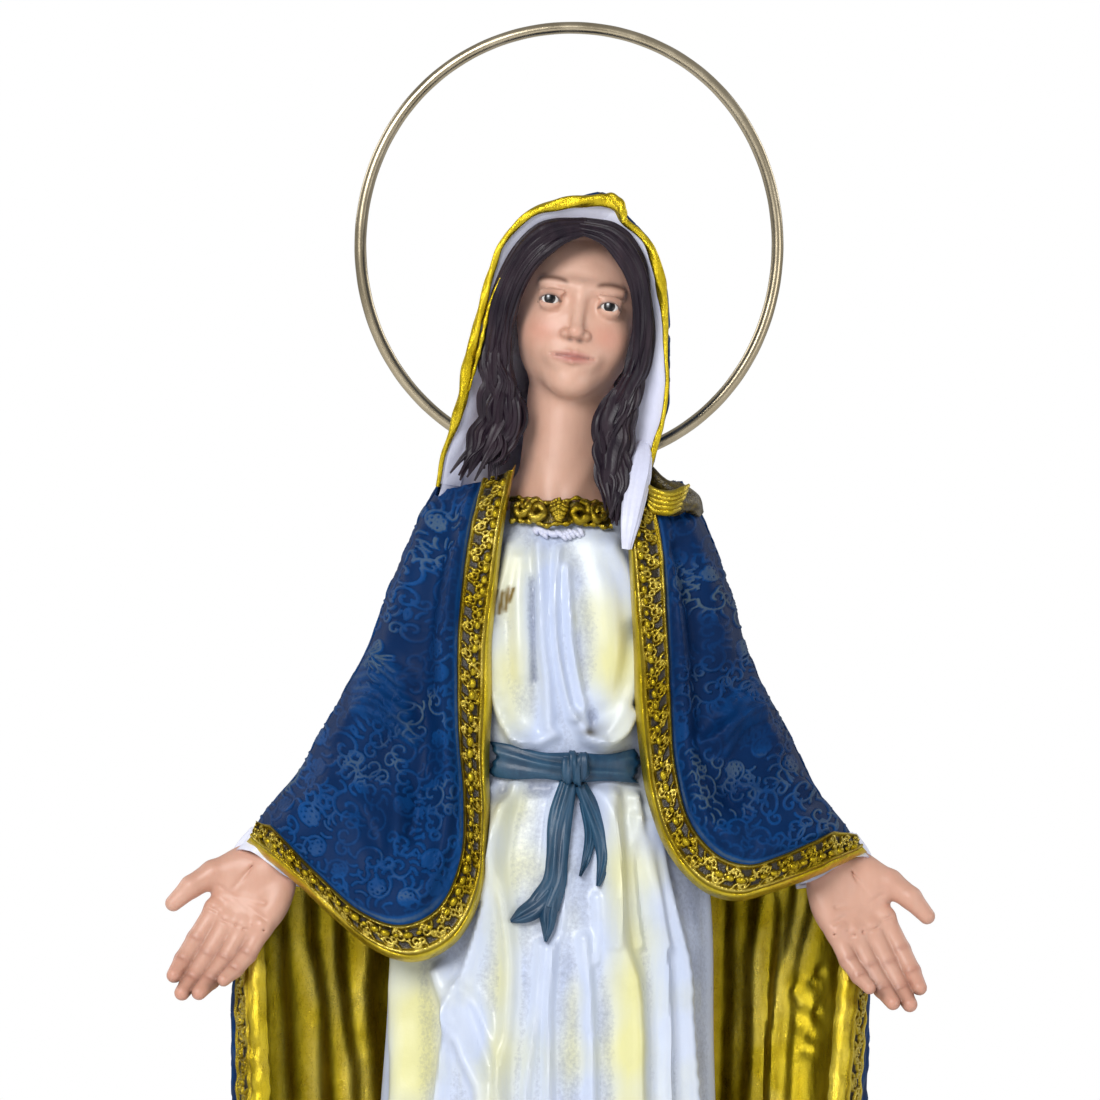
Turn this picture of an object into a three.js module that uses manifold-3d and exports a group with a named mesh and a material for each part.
// A madonna statue: a painted cast-resin figure with open hands, a hooded mantle, a tied sash and a
// lift-out wire halo, standing on a globe and an oval plinth.
// Millimetres, +Z up. The figure faces -Y, and the origin is the middle of the felt pad's underside.
// "Left" and "right" are the viewer's, looking at the face: left is -X.
import * as THREE from "three";
import { mergeVertices } from "three/addons/utils/BufferGeometryUtils.js";
import Module from "manifold-3d";

const wasm = await Module();
wasm.setup();
const { Vector3, CatmullRomCurve3 } = THREE;
const SIDES = { left: -1, right: 1 };

// ---- Driving dimensions ----
const GAP = 0.42; // clearance left where one piece is cut by its neighbour
const CLEARANCE = 0.35; // clearance between stacked and nested round pieces
const BACKING = 0.9; // clearance between a shell and the skin or trim laid on it
const TIDY = 0.12; // how far a cut face may move when its slivers are merged

const FELT = { halfWidth: 47, halfDepth: 41, thickness: 1.6 };
const PLINTH = { halfWidth: 50, halfDepth: 44, top: 15 };
const PLINTH_ROWS = [
  // [share of the half width, height above the felt], from the underside up
  [0.97, 0], [1, 1.2], [1, 3.6], [0.95, 4.6], [0.91, 6.5], [0.9, 8.6], [0.94, 9.8], [0.94, 11.2], [0.9, 12.2],
];
const RECESS = { radius: 11, depth: 5 }; // in the plinth's underside, for the nut and washer
const GLOBE = { radius: 41, centre: 14.5, flat: 15.4 };
const ROD = { radius: 2.5, bottom: 3, top: 84 };
const NUT = { radius: 4.6, thickness: 2.2 };
const WASHER = { radius: 8, thickness: 1.1 };
const INSERT = { radius: 4.5, bottom: 66, top: 82 };

// The gown and the body that fills the mantle: [z, half width, reach to the front, reach to the back]
const GOWN_ROWS = [
  [47, 35, 27, 29], [58, 37, 28.5, 30], [90, 34.5, 25.5, 28.5], [130, 31.5, 22.5, 27], [165, 29.5, 19.5, 26.5],
  [194, 28, 17, 27], [208, 23.5, 14.5, 27.5], [217, 21, 13, 27.5], [228, 20.5, 14.3, 27.5], [238, 21, 15, 27],
  [249, 20, 13.2, 25.5], [257, 16, 10.5, 22], [264, 9.5, 7.5, 14],
];
// The mantle's outer face: [z, half width, y of its widest line, reach to the back, half wrap in degrees]
const MANTLE_ROWS = [
  [42, 49, 2, 33, 106], [62, 51, 2, 33, 108], [90, 53.5, 2, 32, 110], [130, 56, 2, 31, 111], [165, 57.5, 2, 30, 110],
  [185, 57, 2.5, 29.5, 104], [197, 56, 3, 29, 95], [204, 54.5, 3.5, 28.5, 90], [212.5, 47.8, 4, 28, 90],
  [220, 43.8, 4, 28, 90], [225.5, 40.8, 4, 27.8, 90], [236.5, 35, 4, 27, 90], [248, 31.3, 4, 25.2, 90],
  [260, 26.5, 4, 20.5, 90], [266.5, 22.8, 4, 17, 90],
];
const MANTLE = { bottom: 43, wrist: 204, top: 266, wall: 1.5, lining: 0.7 };
// The hood's outer face: [z, half width, x of its middle, y of its front edge, y of its back]
const HOOD_ROWS = [
  [267, 22.6, 0, -3.5, 21], [272, 21, -0.3, -5, 19.6], [282, 18.3, 0.2, -7, 18.4], [294, 16.6, 1.5, -8.5, 18],
  [303, 14.9, 2.4, -9, 16.8], [310, 11.6, 3.2, -9, 13.8], [316, 7.4, 4, -9, 9.2], [320, 2.4, 4.8, -8.2, -1.5],
];
const HOOD = { wall: 1.1, lining: 0.8, edge: 1.15 };

// The front panels' hems, from the neck down the front, round the corner and out to the wrist
const HEM = {
  left: [
    [-9.8, -8, 268.6], [-11.4, -11.8, 260.5], [-12.8, -14.6, 249.5], [-13.9, -16.4, 238.5], [-14.3, -16.2, 228],
    [-14.3, -15.8, 217], [-13.6, -17, 206], [-14.1, -19, 195.5], [-18, -20.8, 186.6], [-25, -21, 183],
    [-32.6, -19.4, 185.2], [-40.4, -16.4, 191.4], [-48, -12.6, 198.2], [-54.2, -7, 202.6],
  ],
  right: [
    [10.6, -8, 267], [12.4, -11.8, 260.4], [13.9, -14.6, 249], [15, -16.4, 238.5], [16.1, -16.2, 229],
    [17, -15.8, 221], [18.2, -16.4, 213], [21.2, -18, 203.6], [26.4, -19.6, 197.4], [32.4, -19.8, 195.2],
    [38, -18.6, 196.6], [43.8, -16, 199], [50, -12.2, 201.4], [55.2, -7, 203],
  ],
};
// Height of the arm's outer line that faces each part of the hem: [share of the hem, z]
const ARM_LINE = [[0, 265.6], [0.25, 246], [0.5, 231], [0.7, 219], [0.86, 210], [1, 204.6]];
const PANEL_WALL = 3.4; // thickness of a panel at its hem
const BORDER = { width: 4.9, thickness: 1 };

const HEAD = { centre: [2, 0.2, 298.6], half: [12.3, 12.6, 16.2], tiltDeg: 6.5, faceUpDeg: 5 };
const NECK = { radius: 7.4, bottom: 258, top: 292 };
const EYE = { radius: 1.75, spread: 5.1, forward: -10.6, up: 0.6 };
const HAIR_LOCKS = {
  // centre line of each lock, from the parting to its tip
  left: [[1, -9.5, 313], [-8, -8.6, 309], [-12.4, -7.2, 299], [-12.8, -7, 287], [-13.6, -9, 277], [-16, -10.5, 270.5]],
  right: [[5, -9.5, 313], [12.2, -8.2, 307], [14.6, -7, 297], [13.4, -7, 285], [11, -9, 274], [9.4, -12.8, 262.5]],
};
const COLLAR = { z: 262.6, height: 4.2, thickness: 1.4, halfAngle: 56 };
const SASH = { z: 216.6, height: 6, thickness: 1.5, halfAngle: 52 };
const KNOT = { at: [3.4, 216.2], half: [2.5, 1.9, 3.4] };
const SASH_TAILS = {
  // [x, z, half width] down each tail
  long: [[2.2, 212.4, 1.7], [0.6, 204.5, 2.4], [0.4, 197.5, 1.9], [-1.8, 191.5, 3.2], [-3.8, 186.8, 4.2]],
  short: [[4.4, 211.8, 1.2], [7.4, 206.5, 2], [9.1, 200.5, 1.8], [7.9, 195, 0.9]],
};
// One hand, seen from its palm: the wrist is at the origin, +Y runs to the fingertips, +X to the thumb
const HAND = {
  wrist: [50.8, -3, 198.6],
  along: [0.52, -0.2, -0.83],
  palm: { at: [0.2, 9.4], half: [7.3, 8.6, 3.1] },
  thumb: [[4.2, 4.6, 2.7], [8.8, 11.4, 2.2], [11.4, 19.4, 1.6]],
  fingers: [
    [[5, 15.4, 1.9], [6, 23, 1.7], [6.1, 29.2, 1.4]],
    [[1.7, 16.4, 2], [2.1, 24.8, 1.8], [2.1, 31.2, 1.4]],
    [[-1.7, 16, 1.9], [-1.9, 23.6, 1.7], [-1.9, 29.4, 1.4]],
    [[-4.8, 14.4, 1.7], [-5.3, 19.6, 1.5], [-5.3, 23.8, 1.2]],
  ],
};
const CUFF = { outer: [7.4, 5.4], inner: [6, 4.1], from: -7, to: 2.2 };
const PEG = { radius: 1.1, from: -9, to: 5.6 };
const SHOE = { x: 9.5, y: -27.5, z: 51.4, half: [6, 9, 4.4] };

const HALO = { centre: [0, 24.5, 312.4], halfWidth: 39.2, halfHeight: 40.6, wire: 1.2 };
const STEM = { radius: 1.15, bottom: 244.6 };
const COLLAR_RING = { radius: 2.2, bottom: 264.45, height: 3.6 };
const GRIP_SLEEVE = { inner: 1.4, outer: 1.95, bottom: 246, flange: 3, top: 264.1, lip: 1 };
const SOCKET = { inner: 2.15, outer: 2.95, bottom: 243.2, top: 262.9 };

// ---- Materials ----
const paint = (color, roughness = 0.5, metalness = 0) => new THREE.MeshStandardMaterial({ color, roughness, metalness });
const blue = paint(0x1c4a86, 0.55);
const gold = paint(0xb89a1e, 0.32, 0.9);
const cream = paint(0xe6e8e2, 0.5);
const white = paint(0xe8eaf4, 0.5);
const skin = paint(0xd2a896, 0.45);
const hairBrown = paint(0x2b2433, 0.45);
const sashBlue = paint(0x2f5a7c, 0.5);
const glass = paint(0x0b0a0c, 0.08);
const brass = paint(0x9a8a62, 0.35, 1);
const steel = paint(0x9fa2a6, 0.35, 1);
const felt = paint(0x1f3f2c, 0.95);
const globeBlue = paint(0x6f9cc4, 0.5);
const serpentGreen = paint(0x3f6a2c, 0.45);
const clearVinyl = paint(0xd8d8d0, 0.4);

// ---- Helpers: curves ----

// A smooth curve through rows [at, a, b, ...]: the values a, b, ... at any place between them.
function through(rows) {
  const last = rows.length - 1;
  const slope = (k, j) => {
    const before = rows[Math.max(k - 1, 0)];
    const after = rows[Math.min(k + 1, last)];
    return (after[j] - before[j]) / (after[0] - before[0]);
  };
  return (at) => {
    const place = THREE.MathUtils.clamp(at, rows[0][0], rows[last][0]);
    let k = 0;
    while (k < last - 1 && place > rows[k + 1][0]) k++;
    const span = rows[k + 1][0] - rows[k][0];
    const t = (place - rows[k][0]) / span;
    const rise = 3 * t ** 2 - 2 * t ** 3;
    return rows[k].slice(1).map((value, i) => {
      const j = i + 1;
      const start = (t ** 3 - 2 * t ** 2 + t) * span * slope(k, j);
      const end = (t ** 3 - t ** 2) * span * slope(k + 1, j);
      return (1 - rise) * value + rise * rows[k + 1][j] + start + end;
    });
  };
}

const curve = (points) => new CatmullRomCurve3(points.map((p) => new Vector3(...p)));
const radians = THREE.MathUtils.degToRad;

// ---- Helpers: solids ----

// A closed geometry as a manifold-3d solid, turned the right way out.
function solidOf(geometry) {
  const bare = geometry.clone();
  bare.deleteAttribute("normal");
  bare.deleteAttribute("uv");
  const merged = mergeVertices(bare, 1e-4);
  const triVerts = new Uint32Array(merged.index.array);
  const make = () =>
    new wasm.Manifold(new wasm.Mesh({ numProp: 3, vertProperties: merged.attributes.position.array, triVerts }));
  const made = make();
  if (made.volume() > 0) return made;
  for (let i = 0; i < triVerts.length; i += 3) [triVerts[i], triVerts[i + 1]] = [triVerts[i + 1], triVerts[i]];
  return make();
}

function geometryOf(solid) {
  const mesh = solid.getMesh();
  const step = mesh.numProp;
  const places = new Float32Array(mesh.numVert * 3);
  for (let i = 0; i < mesh.numVert; i++) places.set(mesh.vertProperties.subarray(i * step, i * step + 3), i * 3);
  const geometry = new THREE.BufferGeometry();
  geometry.setAttribute("position", new THREE.BufferAttribute(places, 3));
  geometry.setIndex(new THREE.BufferAttribute(mesh.triVerts, 1));
  return geometry;
}

// The solid swollen by a clearance: each vertex moves out until all the faces round it have moved that far.
function grown(solid, clearance = GAP) {
  const geometry = geometryOf(solid);
  const { attributes, index } = geometry;
  const corner = (k) => new Vector3().fromBufferAttribute(attributes.position, k);
  const facings = Array.from({ length: attributes.position.count }, () => []);
  for (let i = 0; i < index.count; i += 3) {
    const ends = [0, 1, 2].map((k) => index.getX(i + k));
    const [from, second, third] = ends.map(corner);
    const normal = second.sub(from).cross(third.sub(from)).normalize();
    for (const k of ends) {
      if (facings[k].every((other) => other.dot(normal) < 0.9)) facings[k].push(normal);
    }
  }
  facings.forEach((normals, k) => {
    const outward = normals.reduce((sum, normal) => sum.add(normal), new Vector3()).normalize();
    const least = Math.min(...normals.map((normal) => normal.dot(outward)));
    const moved = corner(k).addScaledVector(outward, clearance / Math.max(least, 0.5));
    attributes.position.setXYZ(k, ...moved.toArray());
  });
  return solidOf(geometry);
}

// The largest body of a solid with its slivers merged, so that a cut leaves no loose chips.
const largest = (solid) =>
  solid.simplify(TIDY).decompose().reduce((best, body) => (body.volume() > best.volume() ? body : best));

// A geometry with each vertex moved by place(x, y, z), as a solid.
function warped(geometry, place) {
  const { position } = geometry.attributes;
  for (let i = 0; i < position.count; i++) {
    const [x, y, z] = place(position.getX(i), position.getY(i), position.getZ(i));
    position.setXYZ(i, x, y, z);
  }
  return solidOf(geometry);
}

// A slab between two faces: point(u, v, w) with u and v from 0 to 1, and w from 0, its back, to 1.
const slab = (across, down, point) =>
  warped(new THREE.BoxGeometry(1, 1, 1, across, down, 1), (x, y, z) => point(x + 0.5, y + 0.5, z + 0.5));

// A column of oval sections: reach(z) gives [half width, reach to the front, reach to the back].
const column = (around, up, from, to, reach) =>
  warped(new THREE.CylinderGeometry(1, 1, 1, around, up), (x, y, z) => {
    const height = from + (y + 0.5) * (to - from);
    const [halfWidth, front, back] = reach(height);
    return [x * halfWidth, z > 0 ? -z * front : -z * back, height];
  });

const upright = (radius, from, to, sides = 16) =>
  solidOf(new THREE.CylinderGeometry(radius, radius, to - from, sides).rotateX(Math.PI / 2).translate(0, 0, (from + to) / 2));

const ball = (half, at, around = 16, rings = 10) =>
  solidOf(new THREE.SphereGeometry(1, around, rings).scale(...half).translate(...at));

// An upright tube from its profile [[radius, z], ...], closed on itself.
const turned = (profile, sides = 16) => {
  const points = [...profile, profile[0]].map(([radius, z]) => new THREE.Vector2(radius, z));
  return solidOf(new THREE.LatheGeometry(points, sides).rotateX(Math.PI / 2));
};

// A rod of oval section along a curve.
function rodAlong(path, halfWidth, halfDepth, steps, sides = 10) {
  const section = new THREE.Shape().absellipse(0, 0, halfWidth, halfDepth, 0, 2 * Math.PI);
  return solidOf(new THREE.ExtrudeGeometry(section, { extrudePath: path, steps, curveSegments: sides }));
}

const placed = (solid, matrix) => solidOf(geometryOf(solid).applyMatrix4(matrix));

// ---- Shared surfaces ----
const gownAt = through(GOWN_ROWS);
const mantleAt = through(MANTLE_ROWS);
const hoodAt = through(HOOD_ROWS);
const armLine = through(ARM_LINE);
const hems = { left: curve(HEM.left), right: curve(HEM.right) };

// A point on the gown's front, stood off by a distance, at an angle round from straight ahead.
function onGown(z, degrees, standOff) {
  const [halfWidth, front] = gownAt(z);
  const angle = radians(degrees);
  return [(halfWidth + standOff) * Math.sin(angle), -(front + standOff) * Math.cos(angle), z];
}

// The angle round the gown's front at which it is x wide of the middle.
const angleAt = (z, x) => THREE.MathUtils.radToDeg(Math.asin(THREE.MathUtils.clamp(x / gownAt(z)[0], -1, 1)));

// A point on the mantle's back: turn runs from -1 to 1 round it, inset goes in from the outer face.
function onMantle(z, turn, inset) {
  const [halfWidth, middle, back, wrap] = mantleAt(z);
  const angle = radians(turn * wrap);
  return [(halfWidth - inset) * Math.sin(angle), middle + (back - inset) * Math.cos(angle), z];
}

// A point on the hood: turn runs from -1 to 1 from one front edge round the back to the other.
function onHood(z, turn, inset) {
  const [halfWidth, middle, front, back] = hoodAt(z);
  const angle = radians(90 * turn);
  const x = middle + (halfWidth - inset) * Math.sin(angle);
  return [x, front + (back - inset - front) * Math.cos(angle) ** 0.8, z];
}

// A point on a front panel: along runs down the hem, across from the arm's line at 0 to the hem at 1.
function onPanel(side, along, across) {
  const [z] = armLine(along);
  const [halfWidth, middle] = mantleAt(z);
  const hem = hems[side].getPoint(along);
  const outer = new Vector3(SIDES[side] * halfWidth, middle, z);
  const point = outer.clone().lerp(hem, across);
  point.y = outer.y + (hem.y - outer.y) * Math.sqrt(1 - (1 - across) ** 2);
  return point;
}

// How far across a panel the inner edge of its border lies.
function borderStart(side, along) {
  const reach = onPanel(side, along, 1).sub(onPanel(side, along, 0)).setY(0).length();
  return 1 - Math.min(0.62, BORDER.width / reach);
}

// ---- Base ----
function makeBase() {
  const ovalScale = PLINTH.halfDepth / PLINTH.halfWidth;
  const feltShape = new THREE.CylinderGeometry(FELT.halfWidth, FELT.halfWidth, FELT.thickness, 48);
  const feltPad = solidOf(feltShape.rotateX(Math.PI / 2).scale(1, FELT.halfDepth / FELT.halfWidth, 1).translate(0, 0, FELT.thickness / 2));

  const floor = FELT.thickness + CLEARANCE;
  const outline = PLINTH_ROWS.map(([share, up]) => new THREE.Vector2(share * PLINTH.halfWidth, floor + up));
  outline.unshift(new THREE.Vector2(0, floor));
  outline.push(new THREE.Vector2(0.86 * PLINTH.halfWidth, PLINTH.top), new THREE.Vector2(0, PLINTH.top));
  const block = solidOf(new THREE.LatheGeometry(outline, 28).rotateX(Math.PI / 2).scale(1, ovalScale, 1));
  const recess = upright(RECESS.radius, 0, floor + RECESS.depth);
  const rodHole = upright(ROD.radius + CLEARANCE, 0, GLOBE.centre + GLOBE.radius + 10);
  const plinth = block.subtract(recess).subtract(rodHole);

  const sphere = ball([GLOBE.radius, GLOBE.radius, GLOBE.radius], [0, 0, GLOBE.centre], 24, 14);
  const below = solidOf(new THREE.BoxGeometry(200, 200, 100).translate(0, 0, GLOBE.flat - 50));
  const globe = sphere.subtract(below).subtract(rodHole);

  const recessTop = floor + RECESS.depth;
  const washerTop = recessTop - CLEARANCE;
  const washer = turned([
    [ROD.radius + CLEARANCE, washerTop - WASHER.thickness],
    [WASHER.radius, washerTop - WASHER.thickness],
    [WASHER.radius, washerTop],
    [ROD.radius + CLEARANCE, washerTop],
  ]);
  const nutTop = washerTop - WASHER.thickness - CLEARANCE;
  const nut = upright(NUT.radius, nutTop - NUT.thickness, nutTop, 6).subtract(upright(ROD.radius + CLEARANCE, 0, nutTop + 1));
  const rod = upright(ROD.radius, ROD.bottom, ROD.top);
  const insert = upright(INSERT.radius, INSERT.bottom, INSERT.top + 4, 12).subtract(upright(ROD.radius + CLEARANCE, 0, ROD.top + 1));
  return { feltPad, plinth, globe, washer, nut, rod, insert };
}

// A snake lying round the front of the globe, its head raised beside the shoes.
function makeSerpent() {
  const lie = GLOBE.radius + 3.5;
  const turns = [
    // [degrees round from the front, degrees above the globe's middle]
    [118, 8], [92, 20], [62, 26], [32, 20], [4, 14], [-26, 18], [-50, 24], [-64, 33], [-52, 40], [-37, 41],
  ];
  const points = turns.map(([round, up]) => {
    const level = lie * Math.cos(radians(up));
    return [level * Math.sin(radians(round)), -level * Math.cos(radians(round)), GLOBE.centre + lie * Math.sin(radians(up))];
  });
  const body = rodAlong(curve(points), 3, 3, 22, 6);
  const tip = points[points.length - 1];
  return body.add(ball([4.6, 3.6, 3], [tip[0] + 1.5, tip[1] - 1, tip[2]], 14, 10));
}

// ---- Figure ----
function makeGown() {
  return column(22, 14, GOWN_ROWS[0][0], 264, gownAt);
}

function makeHead() {
  const skull = ball(HEAD.half, [0, 0, 0], 16, 12);
  const jaw = ball([9.2, 9.6, 10.4], [0, -2, -7.2], 12, 8);
  const nose = ball([1.9, 2.6, 4.2], [0, -12.2, -2.6], 6, 6);
  const turn = new THREE.Matrix4()
    .makeTranslation(...HEAD.centre)
    .multiply(new THREE.Matrix4().makeRotationY(radians(HEAD.tiltDeg)))
    .multiply(new THREE.Matrix4().makeRotationX(radians(-HEAD.faceUpDeg)));
  const sockets = [-1, 1].map((side) => ball([EYE.radius, EYE.radius, EYE.radius], [side * EYE.spread, EYE.forward, EYE.up], 10, 8));
  const eyes = sockets.map((eye) => placed(eye, turn));
  const neck = upright(NECK.radius, NECK.bottom, NECK.top, 24);
  const head = placed(skull.add(jaw).add(nose), turn).add(placed(neck, new THREE.Matrix4().makeTranslation(0.4, 0.5, 0)));
  return { head, eyes };
}

function makeHood() {
  const [bottom, top] = [HOOD_ROWS[0][0], HOOD_ROWS[HOOD_ROWS.length - 1][0]];
  const shell = (outer, inner) => {
    const drop = 1.2 * inner; // the inner face stops lower, so that the crown has a wall too
    return slab(14, 9, (u, v, w) => {
      const inset = w > 0.5 ? outer : inner;
      const [x, y, z] = onHood(bottom + v * (top - bottom), 2 * u - 1, inset);
      return [x, y, z - (w > 0.5 ? 1.2 * outer : drop) * v ** 3];
    });
  };
  const hood = shell(0, HOOD.wall);
  const lining = shell(HOOD.wall + BACKING, HOOD.wall + BACKING + HOOD.lining);
  const edgePath = (side) => {
    const heights = [268.5, 276, 284, 292, 300, 307, 312.5, 317];
    return heights.map((z) => {
      const [x, y] = onHood(z, side, 0);
      return [x, y - HOOD.edge - BACKING, z];
    });
  };
  const crown = [onHood(top, 0, 0)[0], HOOD_ROWS[HOOD_ROWS.length - 1][3] - 2.2, top - 0.6];
  const edge = rodAlong(curve([...edgePath(-1), crown, ...edgePath(1).reverse()]), HOOD.edge, HOOD.edge, 26, 6);
  return { hood, lining, edge };
}

function makeLock(side) {
  return rodAlong(curve(HAIR_LOCKS[side]), 3.4, 2.8, 11, 6);
}

function makeMantleBack() {
  const { bottom, top, wall, lining } = MANTLE;
  const shell = (outer, inner, from, to, wrapShare) =>
    slab(18, 11, (u, v, w) => onMantle(from + v * (to - from), wrapShare * (2 * u - 1), w > 0.5 ? outer : inner));
  const back = shell(0, wall, bottom, top, 1);
  const liningIn = wall + BACKING;
  return { back, lining: shell(liningIn, liningIn + lining, bottom + 0.6, MANTLE.wrist - 4, 0.985) };
}

// A strip of gilt border along the mantle's side edge, from the wrist to the ground.
function makeSideBorder(side) {
  const { bottom, wrist } = MANTLE;
  return slab(2, 18, (u, v, w) => {
    const z = bottom + 1 + v * (wrist - 12 - bottom);
    return onMantle(z, SIDES[side] * (0.9 + 0.1 * u), w > 0.5 ? -BACKING - BORDER.thickness : -BACKING);
  });
}

function makePanel(side) {
  return slab(6, 15, (u, v, w) => {
    const across = 0.012 + 0.988 * u;
    const front = onPanel(side, v, across);
    if (w > 0.5) return front.toArray();
    const [outer, hem] = [onPanel(side, v, 0), onPanel(side, v, 1)];
    const chord = THREE.MathUtils.lerp(outer.y + 1.2, hem.y + PANEL_WALL, across);
    return [front.x, Math.max(chord, front.y + 1.2), front.z];
  });
}

function makeBorder(side) {
  return slab(2, 26, (u, v, w) => {
    const start = borderStart(side, v);
    const point = onPanel(side, v, start + (1 - start) * u);
    const hem = hems[side].getPoint(v);
    const outward = new Vector3(hem.x - SIDES[side] * 34, 0, hem.z - 226).normalize();
    const rise = w > 0.5 ? BACKING + BORDER.thickness : BACKING;
    return [point.x + outward.x * 0.5 * u, point.y - rise, point.z + outward.z * 0.5 * u];
  });
}

// A fold of the mantle turned back on the right shoulder, showing its gilt lining.
function makeShoulderFold() {
  const path = curve([[14.6, -7.4, 268.6], [16.4, -10.4, 265.6], [19.6, -10, 264.2], [22.6, -6.6, 264.6], [24, -1.5, 265.4]]);
  return rodAlong(path, 1.9, 2.5, 14, 6);
}

function makeCollar() {
  return slab(12, 1, (u, v, w) => {
    const z = COLLAR.z + (v - 0.5) * COLLAR.height;
    return onGown(z, (2 * u - 1) * COLLAR.halfAngle, w > 0.5 ? BACKING + COLLAR.thickness : BACKING);
  });
}

function makeLace() {
  return slab(6, 2, (u, v, w) => onGown(256.2 + v * 3.2, (2 * u - 1) * 14, w > 0.5 ? 1.5 : BACKING));
}

function makeSash() {
  const band = slab(12, 1, (u, v, w) => {
    const degrees = (2 * u - 1) * SASH.halfAngle + 2;
    const sweep = 1.6 * (2 * u - 1) ** 2; // the ends ride a little higher
    return onGown(SASH.z + sweep + (v - 0.5) * SASH.height, degrees, w > 0.5 ? BACKING + SASH.thickness : BACKING);
  });
  const [knotX, knotZ] = KNOT.at;
  const knot = ball(KNOT.half, [knotX, -(gownAt(knotZ)[1] + 2.6), knotZ], 14, 10);
  const tail = (rows) => {
    const down = through(rows.map(([x, z, half], i) => [i, x, z, half]));
    return slab(2, 12, (u, v, w) => {
      const [x, z, half] = down(v * (rows.length - 1));
      return onGown(z, angleAt(z, x + (2 * u - 1) * half), w > 0.5 ? 1.7 : BACKING);
    });
  };
  return { band, knot, longTail: tail(SASH_TAILS.long), shortTail: tail(SASH_TAILS.short) };
}

// The frame of a hand: its columns are across to the thumb, along to the fingers, and up out of the palm.
function handFrame(side) {
  const mirror = SIDES[side];
  const along = new Vector3(...HAND.along).normalize();
  const palmUp = new Vector3(0, -1, 0).addScaledVector(along, along.y).normalize();
  const thumbward = new Vector3().crossVectors(along, palmUp).normalize();
  if (thumbward.x < 0) thumbward.negate();
  const basis = new THREE.Matrix4().makeBasis(thumbward, along, palmUp).setPosition(...HAND.wrist);
  return new THREE.Matrix4().makeScale(mirror, 1, 1).multiply(basis);
}

function makeHand(side) {
  const { palm, thumb, fingers } = HAND;
  const segment = ([ax, ay, ar], [bx, by, br]) => {
    const [from, to] = [new Vector3(ax, ay, 0), new Vector3(bx, by, 0)];
    const reach = from.distanceTo(to);
    const capsule = new THREE.CapsuleGeometry((ar + br) / 2, reach, 2, 6);
    const turn = new THREE.Quaternion().setFromUnitVectors(new Vector3(0, 1, 0), to.clone().sub(from).normalize());
    return solidOf(capsule.applyQuaternion(turn).translate(...from.add(to).multiplyScalar(0.5)));
  };
  const wrist = ball([5.2, 8, 3.6], [0, 1, -0.4], 8, 6);
  const parts = [segment(thumb[0], thumb[1]), segment(thumb[1], thumb[2]), ...fingers.map((row) => segment(row[0], row[2]))];
  const whole = parts.reduce((sum, part) => sum.add(part), ball(palm.half, [...palm.at, 0], 10, 8).add(wrist));
  return placed(whole, handFrame(side));
}

function makeCuff(side) {
  const tube = (half, from, to) =>
    solidOf(new THREE.CylinderGeometry(1, 1, to - from, 14).scale(half[0], 1, half[1]).translate(0, (from + to) / 2, 0));
  const ring = tube(CUFF.outer, CUFF.from, CUFF.to).subtract(tube(CUFF.inner, CUFF.from + 3, CUFF.to + 1));
  return placed(ring, handFrame(side));
}

function makePeg(side) {
  const pin = new THREE.CylinderGeometry(PEG.radius, PEG.radius, PEG.to - PEG.from, 16);
  return placed(solidOf(pin.translate(0, (PEG.from + PEG.to) / 2, 0)), handFrame(side));
}

function makeShoe(side) {
  return ball(SHOE.half, [SIDES[side] * SHOE.x, SHOE.y, SHOE.z], 14, 8);
}

// ---- Halo ----
function makeHalo() {
  const [x, y, z] = HALO.centre;
  const ringShape = new THREE.TorusGeometry(HALO.halfWidth, HALO.wire, 6, 44).rotateX(Math.PI / 2);
  const ring = solidOf(ringShape.scale(1, 1, HALO.halfHeight / HALO.halfWidth).translate(x, y, z));
  const ringBottom = z - HALO.halfHeight;
  const at = (solid) => placed(solid, new THREE.Matrix4().makeTranslation(x, y, 0));
  const stem = at(upright(STEM.radius, STEM.bottom, ringBottom, 20));
  const { radius, bottom, height } = COLLAR_RING;
  const brazeCollar = at(
    turned([
      [STEM.radius + CLEARANCE, bottom],
      [radius, bottom],
      [radius, bottom + height],
      [STEM.radius + CLEARANCE, bottom + height],
    ]),
  );
  const sleeve = GRIP_SLEEVE;
  const gripSleeve = at(
    turned([
      [sleeve.inner, sleeve.bottom],
      [sleeve.outer, sleeve.bottom],
      [sleeve.outer, sleeve.top - sleeve.lip],
      [sleeve.flange, sleeve.top - sleeve.lip],
      [sleeve.flange, sleeve.top],
      [sleeve.inner, sleeve.top],
    ]),
  );
  const socket = at(
    turned([
      [SOCKET.inner, SOCKET.bottom],
      [SOCKET.outer, SOCKET.bottom],
      [SOCKET.outer, SOCKET.top],
      [SOCKET.inner, SOCKET.top],
    ]),
  );
  const bore = at(upright(SOCKET.outer, SOCKET.bottom, SOCKET.top + 6));
  return { ring, stem, brazeCollar, gripSleeve, socket, bore };
}

// ---- Assembly ----
// The pieces in order of precedence: each one is cut back from every earlier one that it meets.
const statue = new THREE.Group();
const cutters = [];

const boxesMeet = (a, b) => [0, 1, 2].every((i) => a.min[i] < b.max[i] && b.min[i] < a.max[i]);

// A shape that only makes room for later pieces.
function reserve(solid) {
  const swollen = grown(solid);
  cutters.push({ swollen, box: swollen.boundingBox() });
}

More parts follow.
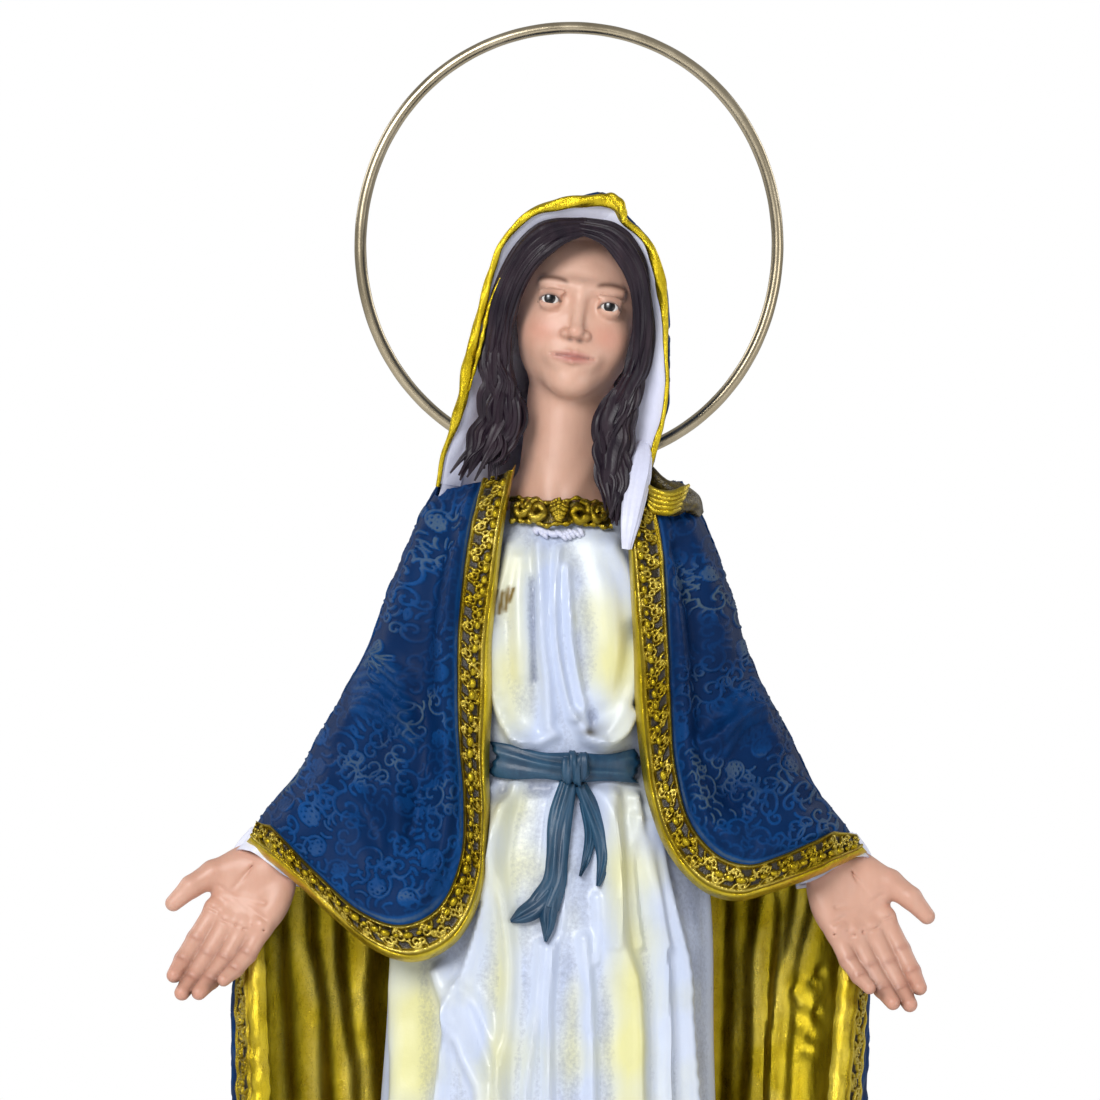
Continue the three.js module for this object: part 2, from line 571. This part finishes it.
function add(name, solid, material, ready = false) {
  const box = solid.boundingBox();
  const meeting = ready ? [] : cutters.filter((cutter) => boxesMeet(cutter.box, box));
  const cut = meeting.reduce((rest, cutter) => rest.subtract(cutter.swollen), solid);
  const mesh = new THREE.Mesh(geometryOf(ready ? solid : largest(cut)), material);
  mesh.name = name;
  statue.add(mesh);
  reserve(solid);
}

// A pair of mirrored pieces, made for each side in turn.
function addPair(name, make, material) {
  for (const side of Object.keys(SIDES)) add(`${name}_${side}`, make(side), material);
}

const base = makeBase();
add("felt_pad", base.feltPad, felt, true);
add("plinth", base.plinth, cream, true);
add("globe", base.globe, globeBlue, true);
add("fixing_rod", base.rod, steel, true);
add("fixing_nut", base.nut, steel, true);
add("fixing_washer", base.washer, steel, true);
add("gown_insert", base.insert, brass, true);

const halo = makeHalo();
add("halo_stem", halo.stem, brass, true);
add("halo_ring", halo.ring, brass);
add("halo_collar", halo.brazeCollar, brass);
add("halo_grip_sleeve", halo.gripSleeve, clearVinyl, true);
add("halo_socket", halo.socket, brass, true);
reserve(halo.bore);

add("serpent", makeSerpent(), serpentGreen);
addPair("shoe", makeShoe, skin);
const { head, eyes } = makeHead();
eyes.forEach((eye, i) => add(["eye_left", "eye_right"][i], eye, glass, true));
add("head", head, skin);
add("gown", makeGown(), cream);
addPair("hand_peg", makePeg, steel);

const mantleShells = makeMantleBack();
add("mantle_back", mantleShells.back, blue);
add("mantle_lining", mantleShells.lining, gold);
const hoodShells = makeHood();
add("hood", hoodShells.hood, blue);
add("hood_lining", hoodShells.lining, white);
addPair("mantle_panel", makePanel, blue);
add("shoulder_fold", makeShoulderFold(), gold);
add("hood_edge", hoodShells.edge, gold);

const sash = makeSash();
add("sash_knot", sash.knot, sashBlue);
add("sash_tail_long", sash.longTail, sashBlue);
add("sash_tail_short", sash.shortTail, sashBlue);
add("sash_band", sash.band, sashBlue);
add("neck_collar", makeCollar(), gold);
add("neck_lace", makeLace(), white);

addPair("hand", makeHand, skin);
addPair("cuff", makeCuff, white);
addPair("side_border", makeSideBorder, gold);
addPair("panel_border", makeBorder, gold);
addPair("hair_lock", makeLock, hairBrown);

export default statue;
